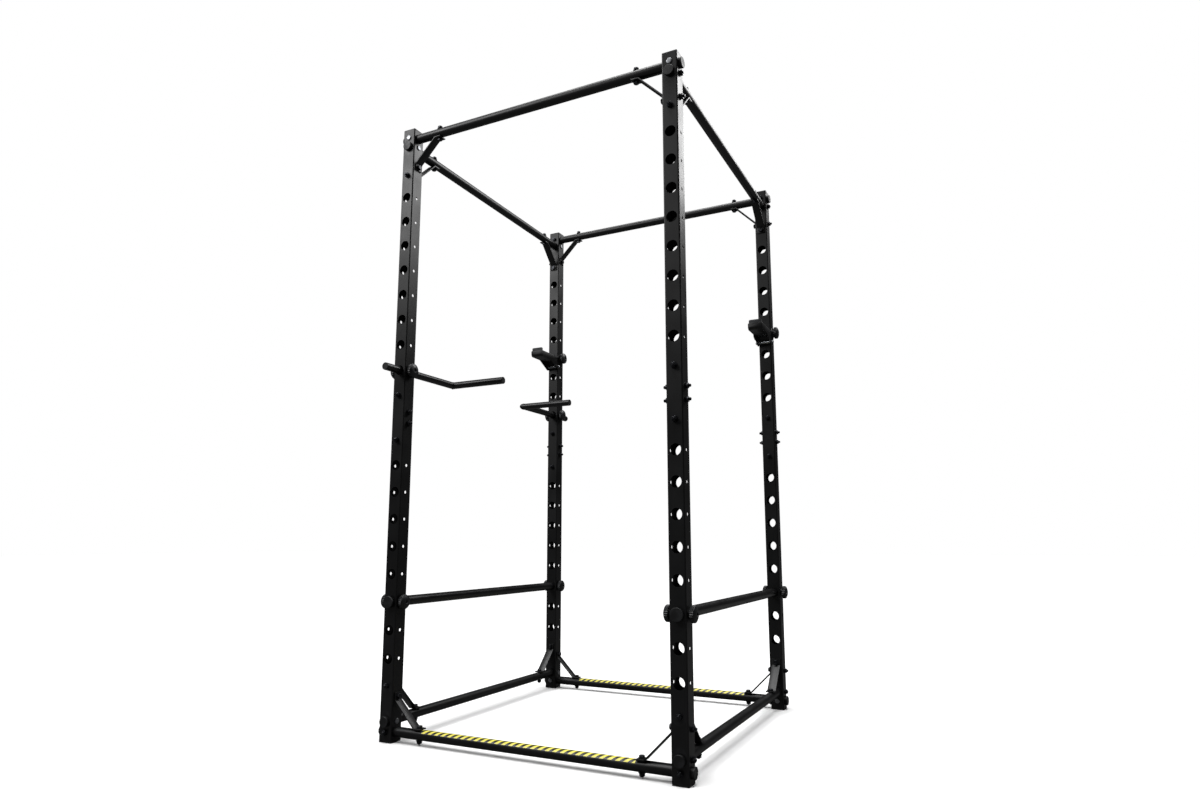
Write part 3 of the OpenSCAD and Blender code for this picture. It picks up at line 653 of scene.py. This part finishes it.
@dataclass
class SteelFrame:
    """Posts, cross tubes, braces, sleeves and all plastic caps."""

    body: str = "frame"
    brace_edge_mm: float = 0.6

    def build(self) -> None:
        """Dresses the straight stock and the caps, and rounds the bent strips."""
        nodes = sorted(frame["nodes"])
        dress([n for n in nodes if n.startswith("post_lower") or n.startswith("post_upper")], POST_PAINT)
        dress([n for n in nodes if "_tube_" in n], PAINT)
        dress(["post_joint_sleeves"], ZINC)
        dress(["tube_end_caps", "post_end_caps"], CAP_PLASTIC)
        for node in [n for n in nodes if n.startswith("braces_")]:
            formed = softened(node, self.brace_edge_mm)
            as_piece(node + "_formed", formed, PAINT, self.body, [node])


# ---------------------------------------------------------------- fasteners


class HeadForm(Enum):
    """How a bolt's head is shaped."""

    HEXAGON = "hexagon"
    DISC = "disc"
    NONE = "none"


@dataclass
class Bolt:
    """One bolt or stud of the frame, measured from its CAD solid; lengths in millimetres."""

    # from this many shank radii outwards, a point is on the head
    WIDER: ClassVar[float] = 1.4

    start: Vector
    direction: Vector
    shank_r: float
    head_r: float
    head_t: float
    total: float

    @classmethod
    def measured(cls, solid: Solid) -> "Bolt":
        """Measures a solid of a bolt, whose head is the part wider than its shank.

        Args:
            solid: one separate solid of a bolt node.

        Returns:
            The bolt, starting at its head's outer face; a stud has a head of no height.
        """
        axis = solid.axis
        reaches = [(solid.off_axis(point, axis), point[axis]) for point in solid.points]
        shank_r = min(reach for reach, _ in reaches if reach > MM)
        head = [(reach, along) for reach, along in reaches if reach > shank_r * cls.WIDER]
        heights = [along for _, along in head] or [solid.low[axis]]
        sign = 1.0 if max(heights) < solid.centre[axis] else -1.0
        start = solid.centre.copy()
        start[axis] = solid.low[axis] if sign > 0 else solid.high[axis]
        direction = Vector([sign if i == axis else 0.0 for i in range(3)])
        return cls(start, direction, shank_r / MM, max((reach for reach, _ in head), default=0.0) / MM,
                   (max(heights) - min(heights)) / MM, (solid.high - solid.low)[axis] / MM)


@dataclass
class Fasteners:
    """Bolts and studs with cut threads, chamfered heads and chamfered nuts, wherever the frame has one."""

    # outlines of heads as (radius, height): faces in shares of the radius, rims and feet in millimetres
    # from the head's edge, heights in millimetres from the outer face or, for the foot, from the inner one
    HEX_FACE: ClassVar[Outline] = ((0.0, 0.5), (0.62, 0.5), (0.66, 0.0), (0.87, 0.0))
    DISC_FACE: ClassVar[Outline] = ((0.0, 0.15), (0.3, 0.05), (0.82, 0.0))
    DISC_RIM: ClassVar[Outline] = ((-0.6, 0.35), (0.0, 1.0))
    DISC_FOOT: ClassVar[Outline] = ((0.0, -0.2), (-0.2, 0.0))

    body: str = "frame"
    slot: str = "black_fasteners"
    steps: int = 24
    thread_pitch_mm: float = 1.5
    thread_depth_mm: float = 0.75
    thread_length_mm: float = 20.0
    run_out_mm: float = 0.4
    point_mm: float = 1.2
    chamfer: float = 0.94
    chamfer_drop: float = 0.96
    hex_foot_mm: float = 0.3
    nut_chamfer: float = 0.97
    nut_bore_lip_mm: float = 0.5
    nut_lip_rise_mm: float = 0.4

    def build(self) -> None:
        """Builds each group of fasteners as one piece, or two where heads and shanks differ in finish."""
        for node in ("brace_post_bolts", "brace_tube_bolts"):
            heads, shanks = self.bolts(node, HeadForm.HEXAGON)
            merge_into(heads, shanks, Matrix.Identity(4))
            shanks.free()
            as_piece(node + "_threaded", heads, BLACK_ZINC, self.body, [node])
        spare, studs = self.bolts("joint_studs", HeadForm.NONE)
        spare.free()
        as_piece("joint_studs_threaded", studs, BLACK_ZINC, self.body, ["joint_studs"])
        heads, shanks = self.bolts("lock_bolts", HeadForm.DISC)
        as_piece("lock_bolt_heads", heads, HEADED_ZINC, self.body, ["lock_bolts"])
        as_piece("lock_bolt_shanks", shanks, BLACK_ZINC, self.body)
        self.nuts("nuts")
        dress(["washers"], BLACK_ZINC)

    def hex_form(self, bm: bmesh.types.BMesh, flats_mm: float) -> None:
        """Cuts a turned blank to a hexagon by pulling in every point outside its flats.

        Args:
            bm: the blank, about Z, in metres.
            flats_mm: the width across the flats.
        """
        for vert in bm.verts:
            radius = math.hypot(vert.co.x, vert.co.y)
            if radius < SAME_POINT:
                continue
            angle = math.atan2(vert.co.y, vert.co.x) % (math.pi / 3) - math.pi / 6
            limit = flats_mm / 2 * MM / math.cos(angle)
            if radius > limit:
                vert.co.xy *= limit / radius

    def threads(self, radius: float, start: float, end: float) -> list[Span]:
        """Draws the zigzag profile of a thread.

        Args:
            radius: the crests' radius.
            start: the height it starts at.
            end: the height it ends at.

        Returns:
            Points of (radius, height), in millimetres.
        """
        count = int((end - start) / self.thread_pitch_mm)
        ridges = []
        for i in range(count):
            z = start + i * self.thread_pitch_mm
            ridges += [(radius - self.thread_depth_mm, z), (radius, z + self.thread_pitch_mm / 2)]
        return ridges + [(radius - self.thread_depth_mm, end)]

    def head_blank(self, form: HeadForm, head_r: float, head_t: float) -> bmesh.types.BMesh:
        """Turns a head whose outer face is at z = 0.

        Args:
            form: hexagon or disc.
            head_r: its radius to the corners, in millimetres.
            head_t: its height, in millimetres.

        Returns:
            The head, a closed solid.
        """
        rim = head_r * self.chamfer
        if form is HeadForm.DISC:
            face = [(head_r * share, z) for share, z in self.DISC_FACE]
            edge = [(head_r + r, z) for r, z in self.DISC_RIM]
            foot = [(head_r + r, head_t + z) for r, z in self.DISC_FOOT]
            return turned(face + edge + foot + [(0, head_t)], self.steps * 2)
        face = [(rim * share, z) for share, z in self.HEX_FACE]
        edge = [(head_r, head_r - rim * self.chamfer_drop), (head_r, head_t - self.hex_foot_mm)]
        bm = turned(face + edge + [(rim, head_t), (0, head_t)], self.steps)
        self.hex_form(bm, head_r * 2 * FLATS_TO_CORNERS)
        return bm

    def shank_blank(self, bolt: Bolt) -> bmesh.types.BMesh:
        """Turns a shank from inside the head to its pointed, threaded end; a stud is threaded at both ends.

        Args:
            bolt: the bolt's sizes.

        Returns:
            The shank, a closed solid.
        """
        r, total, tip = bolt.shank_r, bolt.total, self.point_mm
        length, run_out = self.thread_length_mm, self.run_out_mm
        if bolt.head_t > 0:
            near = [(0, bolt.head_t / 2), (r, bolt.head_t / 2)]
        else:
            near = [(0, 0), (r - tip, 0)] + self.threads(r, tip / 2, length) + [(r, length + run_out)]
        far = [(r, total - length - run_out)] + self.threads(r, total - length, total - tip / 2)
        return turned(near + far + [(r - tip, total), (0, total)], self.steps)

    def bolts(self, node: str, form: HeadForm) -> tuple[bmesh.types.BMesh, bmesh.types.BMesh]:
        """Makes one group of bolts again in detail, with the same sizes and at the same places.

        Args:
            node: the CAD node of the bolts.
            form: how their heads are shaped.

        Returns:
            All the heads and all the shanks.
        """
        heads, shanks = bmesh.new(), bmesh.new()
        for solid in solids(node):
            bolt = Bolt.measured(solid)
            placing = onto(bolt.start, bolt.direction)
            shank = self.shank_blank(bolt)
            merge_into(shanks, shank, placing)
            shank.free()
            if form is not HeadForm.NONE:
                head = self.head_blank(form, bolt.head_r, bolt.head_t)
                merge_into(heads, head, placing)
                head.free()
        return heads, shanks

    def nuts(self, node: str) -> None:
        """Makes the nuts again, chamfered on both faces.

        Args:
            node: the CAD node of the nuts.
        """
        whole = bmesh.new()
        for solid in solids(node):
            size = solid.high - solid.low
            axis = min(range(3), key=lambda i: size[i])
            bore = min(solid.off_axis(point, axis) for point in solid.points) / MM
            flats = min(size[i] for i in range(3) if i != axis) / MM
            tip, thick = flats / 2 / FLATS_TO_CORNERS, size[axis] / MM
            rim = flats / 2 * self.nut_chamfer
            rise = (tip - rim) / 2
            lip, lip_rise = bore + self.nut_bore_lip_mm, self.nut_lip_rise_mm
            blank = turned([(bore, lip_rise), (lip, 0), (rim, 0), (tip, rise), (tip, thick - rise),
                            (rim, thick), (lip, thick), (bore, thick - lip_rise), (bore, lip_rise)],
                           self.steps)
            self.hex_form(blank, flats)
            start = solid.centre.copy()
            start[axis] = solid.low[axis]
            merge_into(whole, blank, onto(start, Vector([1.0 if i == axis else 0.0 for i in range(3)])))
            blank.free()
        as_piece("nuts_chamfered", whole, BLACK_ZINC, self.body, [node])


# ---------------------------------------------------------------- hand knobs


@dataclass
class HandKnob:
    """A moulded grip with finger ribs and a domed face, on a threaded stud."""

    # outlines as (radius, height) in millimetres: radii from the hub's edge, from the ribs' crests and, for
    # the dimple, from the axis; the dimple's heights from the top
    HUB: ClassVar[Outline] = ((-0.5, 0.0), (0.0, 0.5), (0.0, 5.0), (1.0, 6.0))
    RIM: ClassVar[Outline] = ((-1.9, 6.0), (-0.7, 6.5), (0.0, 7.6), (0.0, 10.4), (0.0, 13.4), (0.0, 16.4),
                              (-0.6, 17.5), (-1.8, 18.1), (-2.4, 18.3))
    DIMPLE: ClassVar[Outline] = ((6.2, -0.3), (5.4, -1.4), (5.0, -3.4), (0.0, -3.4))
    DOME_STEPS: ClassVar[tuple[float, ...]] = (0.0, 0.15, 0.3, 0.45, 0.6, 0.8, 1.0)

    node: str
    height_mm: float = 24.0
    hub_share: float = 0.55
    dome_rise_mm: float = 5.0
    dome_inset_mm: float = 2.6
    dome_reach_mm: float = 9.6
    ribs: int = 24
    rib_depth_mm: float = 2.0
    rib_sharpness: float = 0.8
    rib_band_mm: Span = (6.2, 18.2)
    steps_per_rib: int = 6
    stud_r_mm: float = 5.0
    stud_pitch_mm: float = 1.5
    stud_depth_mm: float = 0.85
    stud_point_mm: float = 1.2
    stud_lead_mm: float = 1.0
    stud_run_out_mm: float = 0.5
    stud_root_mm: float = 3.0
    stud_steps: int = 24

    def grip(self, radius: float) -> bmesh.types.BMesh:
        """Turns the grip and presses the grooves between its ribs.

        Args:
            radius: the grip's radius over its ribs, in millimetres.

        Returns:
            The grip, about Z, with its hub's face at z = 0.
        """
        hub, top = radius * self.hub_share, self.height_mm
        dome = [(radius - self.dome_inset_mm - (radius - self.dome_reach_mm) * t,
                 top - self.dome_rise_mm + self.dome_rise_mm * math.sin(math.pi / 2 * t))
                for t in self.DOME_STEPS]
        profile = [(0, 0)] + [(hub + r, z) for r, z in self.HUB] + [(radius + r, z) for r, z in self.RIM]
        bm = turned(profile + dome + [(r, top + z) for r, z in self.DIMPLE], self.ribs * self.steps_per_rib)
        low, high = self.rib_band_mm
        for vert in bm.verts:
            reach = math.hypot(vert.co.x, vert.co.y)
            if reach > (radius - self.rib_depth_mm) * MM and low * MM < vert.co.z < high * MM:
                wave = 0.5 - 0.5 * math.cos(self.ribs * math.atan2(vert.co.y, vert.co.x))
                vert.co.xy *= 1 - self.rib_depth_mm * MM * wave ** self.rib_sharpness / reach
        return bm

    def stud(self, length: float) -> bmesh.types.BMesh:
        """Turns the stud, threaded from its tip to the hub.

        Args:
            length: how far it stands out of the hub, in millimetres.

        Returns:
            The stud, about Z, tip downwards, with its root inside the hub.
        """
        crest, root = self.stud_r_mm, self.stud_r_mm - self.stud_depth_mm
        count = int((length - self.stud_lead_mm - self.stud_run_out_mm) / self.stud_pitch_mm)
        ridges = []
        for i in range(count):
            z = -length + self.stud_lead_mm + i * self.stud_pitch_mm
            ridges += [(root, z), (crest, z + self.stud_pitch_mm / 2)]
        tip = [(0, -length), (crest - self.stud_point_mm, -length)]
        return turned(tip + ridges + [(root, 0.0), (root, self.stud_root_mm), (0, self.stud_root_mm)],
                      self.stud_steps)

    def build(self) -> None:
        """Places the grip and the stud where the CAD knob is."""
        joint = next(j for j in frame["joints"] if j["child"] == self.node)
        low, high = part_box(self.node)
        out = Vector(joint["axis"])
        face = high.x if out.x > 0 else low.x
        hub = Vector((face - out.x * self.height_mm * MM, joint["pos_m"][1], joint["pos_m"][2]))
        radius = round((high.z - low.z) / 2 / MM)
        stud_length = (high.x - low.x) / MM - self.height_mm
        for name, bm, finish, slot, stands_for in (
                ("grip", self.grip(radius), KNOB_PLASTIC, "knob_plastic", [self.node]),
                ("stud", self.stud(stud_length), ZINC, "zinc_steel", [])):
            bmesh.ops.transform(bm, matrix=onto(hub, out), verts=bm.verts[:])
            as_piece(f"{self.node}_{name}", bm, finish, self.node, stands_for)


# ---------------------------------------------------------------- bars and holders


@dataclass
class SafetyBar:
    """A straight bar through the posts with a flange cap in front and a plug behind."""

    side: str

    def build(self) -> None:
        """Dresses the bar and its caps."""
        dress([f"safety_bar_{self.side}"], GRIP_PAINT)
        dress([f"safety_bar_caps_{self.side}"], CAP_PLASTIC)


@dataclass
class DipBar:
    """A tube mitred and welded at its corner, with a plug in each end."""

    side: str
    bead_mm: float = 1.7
    ripple_mm: float = 0.35
    ripples: int = 30
    sunk_mm: float = 0.5
    section_steps: int = 10
    steps: int = 120
    crease_deg: float = 60.0

    def bead(self, radius: float) -> bmesh.types.BMesh:
        """Lays a rippled weld bead round a tube that is cut at 45 degrees.

        Args:
            radius: the tube's radius, in metres.

        Returns:
            The bead; Z is the cut's normal and X its long way.
        """
        bm = bmesh.new()
        section = bmesh.ops.create_circle(bm, radius=self.bead_mm * MM, segments=self.section_steps)["verts"]
        bmesh.ops.rotate(bm, verts=section, cent=(0, 0, 0), matrix=Matrix.Rotation(math.pi / 2, 3, "X"))
        bmesh.ops.translate(bm, verts=section, vec=(radius - self.sunk_mm * MM, 0, 0))
        bmesh.ops.spin(bm, geom=bm.verts[:] + bm.edges[:], cent=(0, 0, 0), axis=(0, 0, 1), dvec=(0, 0, 0),
                       angle=math.tau, steps=self.steps, use_merge=True, use_duplicate=False)
        bmesh.ops.remove_doubles(bm, verts=bm.verts[:], dist=SAME_POINT)
        for vert in bm.verts:
            angle = math.atan2(vert.co.y, vert.co.x)
            reach = math.hypot(vert.co.x, vert.co.y)
            if reach > radius:
                swell = self.ripple_mm * MM * abs(math.sin(self.ripples / 2 * angle))
                vert.co.xy *= 1 - swell / reach
        bmesh.ops.scale(bm, vec=(math.sqrt(2), 1, 1), verts=bm.verts[:])
        bmesh.ops.recalc_face_normals(bm, faces=bm.faces[:])
        return bm

    def build(self) -> None:
        """Dresses the tube and its plugs and lays the weld round the mitre."""
        node = f"dip_bar_{self.side}"
        dress([node], GRIP_PAINT)
        dress([f"dip_bar_plugs_{self.side}"], CAP_PLASTIC)
        low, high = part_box(node)
        radius = (high.z - low.z) / 2
        inward = 1.0 if self.side == "front" else -1.0
        corner_y = high.y - radius if inward > 0 else low.y + radius
        corner = Vector((low.x + radius, corner_y, (low.z + high.z) / 2))
        long_way = Vector((-1, inward, 0)).normalized()
        normal = Vector((1, inward, 0)).normalized()
        placing = Matrix((long_way, normal.cross(long_way), normal)).transposed().to_4x4()
        bm = self.bead(radius)
        bmesh.ops.transform(bm, matrix=Matrix.Translation(corner) @ placing, verts=bm.verts[:])
        as_piece(f"{node}_weld", bm, BEAD_PAINT, f"dip_{self.side}",
                 crease_deg=self.crease_deg)


@dataclass
class BarbellHolder:
    """A folded steel bracket with a moulded liner, riveted below, and a cross rod with dome nuts."""

    # the rivet's outline: radius in shares of its own, height in millimetres from the sheet
    RIVET: ClassVar[Outline] = ((0.0, -1.0), (1.0, -1.0), (1.0, 0.2), (0.85, 1.1), (0.5, 1.8), (0.0, 2.1))

    side: str
    fold_edge_mm: float = 0.6
    liner_edge_mm: float = 1.4
    liner_strips: int = 3
    sheet_mm: float = 3.0
    rivet_r_mm: float = 4.0
    rivet_from_nose_mm: float = 72.0
    rivet_steps: int = 24

    def build(self) -> None:
        """Rounds the bracket and the liner, dresses the rod and sets the rivet."""
        body = f"cup_{self.side}"
        bracket, liner, rod = (f"cup_{part}_{self.side}" for part in ("bracket", "liner", "rod"))
        folded = softened(bracket, self.fold_edge_mm)
        as_piece(bracket + "_folded", folded, PAINT, body, [bracket])
        moulded = softened(liner, self.liner_edge_mm, self.liner_strips)
        as_piece(liner + "_moulded", moulded, LINER_PLASTIC, body, [liner])
        dress([rod], ZINC)
        low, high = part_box(liner)
        rivet = turned([(self.rivet_r_mm * share, z) for share, z in self.RIVET], self.rivet_steps)
        place = Vector(((low.x + high.x) / 2, low.y + self.rivet_from_nose_mm * MM,
                        low.z - self.sheet_mm * MM))
        bmesh.ops.transform(rivet, matrix=onto(place, Vector((0, 0, -1))), verts=rivet.verts[:])
        as_piece(f"cup_rivet_{self.side}", rivet, BLACK_ZINC, body)


@dataclass
class HazardTape:
    """Striped tape on the top of the bottom front and back tubes."""

    node: str = "hazard_tapes"

    def build(self) -> None:
        """Dresses both tapes in stripes that follow their tubes."""
        low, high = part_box("bottom_tube_back")
        middle = (low + high) / 2
        dress([self.node], PrintedTape("printed_vinyl_tape", tube_y=middle.y, tube_z=middle.z))


# ---------------------------------------------------------------- studio


@dataclass(frozen=True)
class Softbox:
    """One square softbox; lengths in metres."""

    name: str
    place: tuple[float, float, float]
    aim: tuple[float, float, float]
    size: float
    watts: float

    def hang(self) -> None:
        """Hangs the softbox at its place, facing its aim."""
        data = bpy.data.lights.new(self.name, "AREA")
        data.shape = "RECTANGLE"
        data.size = data.size_y = self.size
        data.energy = self.watts
        lamp = bpy.data.objects.new(self.name, data)
        lamp.matrix_world = onto(Vector(self.place), Vector(self.place) - Vector(self.aim))
        bpy.context.scene.collection.objects.link(lamp)


@dataclass
class Studio:
    """White seamless paper, soft overhead light, and a camera low in front of the right post."""

    camera_place: tuple[float, float, float] = (1.3206, -2.6705, 0.6598)
    camera_pitch_deg: float = 98.903
    camera_yaw_deg: float = 26.593
    lens_mm: float = 23.074
    sensor_mm: float = 36.0
    shift: Span = (0.0017, 0.0184)
    clip_m: Span = (0.05, 200.0)
    floor_half_m: float = 40.0
    sun_strength: float = 3.6
    sun_angle_deg: float = 45.0
    sun_tilt_deg: Span = (4.0, -3.0)
    room_strength: Span = (0.03, 1.0)
    boxes: tuple[Softbox, ...] = (
        Softbox("front_box", (-2.6, -3.2, 4.1), (-0.3, -0.5, 1.9), 2.0, 100.0),
        Softbox("right_box", (1.7, 2.4, 4.2), (0.2, -0.4, 1.9), 1.8, 84.0))

    def camera(self) -> None:
        """Sets up the camera."""
        data = bpy.data.cameras.new("camera")
        data.lens = self.lens_mm
        data.sensor_width = self.sensor_mm
        data.shift_x, data.shift_y = self.shift
        data.clip_start, data.clip_end = self.clip_m
        camera = bpy.data.objects.new("camera", data)
        camera.location = self.camera_place
        camera.rotation_euler = (math.radians(self.camera_pitch_deg), 0.0, math.radians(self.camera_yaw_deg))
        bpy.context.scene.collection.objects.link(camera)
        bpy.context.scene.camera = camera

    def floor(self) -> None:
        """Lays the paper on the floor."""
        bm = bmesh.new()
        bmesh.ops.create_grid(bm, x_segments=1, y_segments=1, size=self.floor_half_m)
        mesh = bpy.data.meshes.new("floor")
        bm.to_mesh(mesh)
        bm.free()
        mesh.materials.append(StudioPaper("white_background_paper").material())
        floor = bpy.data.objects.new("floor", mesh)
        bpy.context.scene.collection.objects.link(floor)

    def lights(self) -> None:
        """A wide soft sun overhead for the floor, and softboxes for the upper half."""
        sun = bpy.data.lights.new("overhead", "SUN")
        sun.energy = self.sun_strength
        sun.angle = math.radians(self.sun_angle_deg)
        lamp = bpy.data.objects.new("overhead", sun)
        lamp.rotation_euler = (*map(math.radians, self.sun_tilt_deg), 0)
        bpy.context.scene.collection.objects.link(lamp)
        for box in self.boxes:
            box.hang()

    def room(self) -> None:
        """Makes the world white behind the object and dim in what the object reflects."""
        world = bpy.data.worlds.new("room")
        bpy.context.scene.world = world
        world.use_nodes = True
        tree = world.node_tree
        tree.nodes.clear()
        seen = add(tree, "LightPath")
        strength = add(tree, "MapRange", (seen, 0.0, 1.0, *self.room_strength))
        sky = add(tree, "Background", {"Color": (1.0, 1.0, 1.0, 1.0), "Strength": strength})
        add(tree, "OutputWorld", {"Surface": sky})
        bpy.context.scene.view_settings.view_transform = "Standard"

    def build(self) -> None:
        """Builds the whole studio."""
        self.camera()
        self.floor()
        self.lights()
        self.room()


# ---------------------------------------------------------------- the cage


@dataclass
class PowerCage:
    """The whole object, sub-assembly by sub-assembly."""

    sides: tuple[str, str] = ("left", "right")
    ends: tuple[str, str] = ("front", "back")

    def build(self) -> None:
        """Builds every sub-assembly in order."""
        SteelFrame().build()
        Fasteners().build()
        HazardTape().build()
        for side in self.sides:
            SafetyBar(side).build()
            BarbellHolder(side).build()
        for end in self.ends:
            DipBar(end).build()
        for node in sorted(n for n in frame["nodes"] if n.startswith("knob_")):
            HandKnob(node).build()


def main() -> None:
    """Builds the studio and the cage."""
    logging.basicConfig(level=logging.INFO, format="%(message)s")
    Studio().build()
    PowerCage().build()


if __name__ == "__main__":
    main()
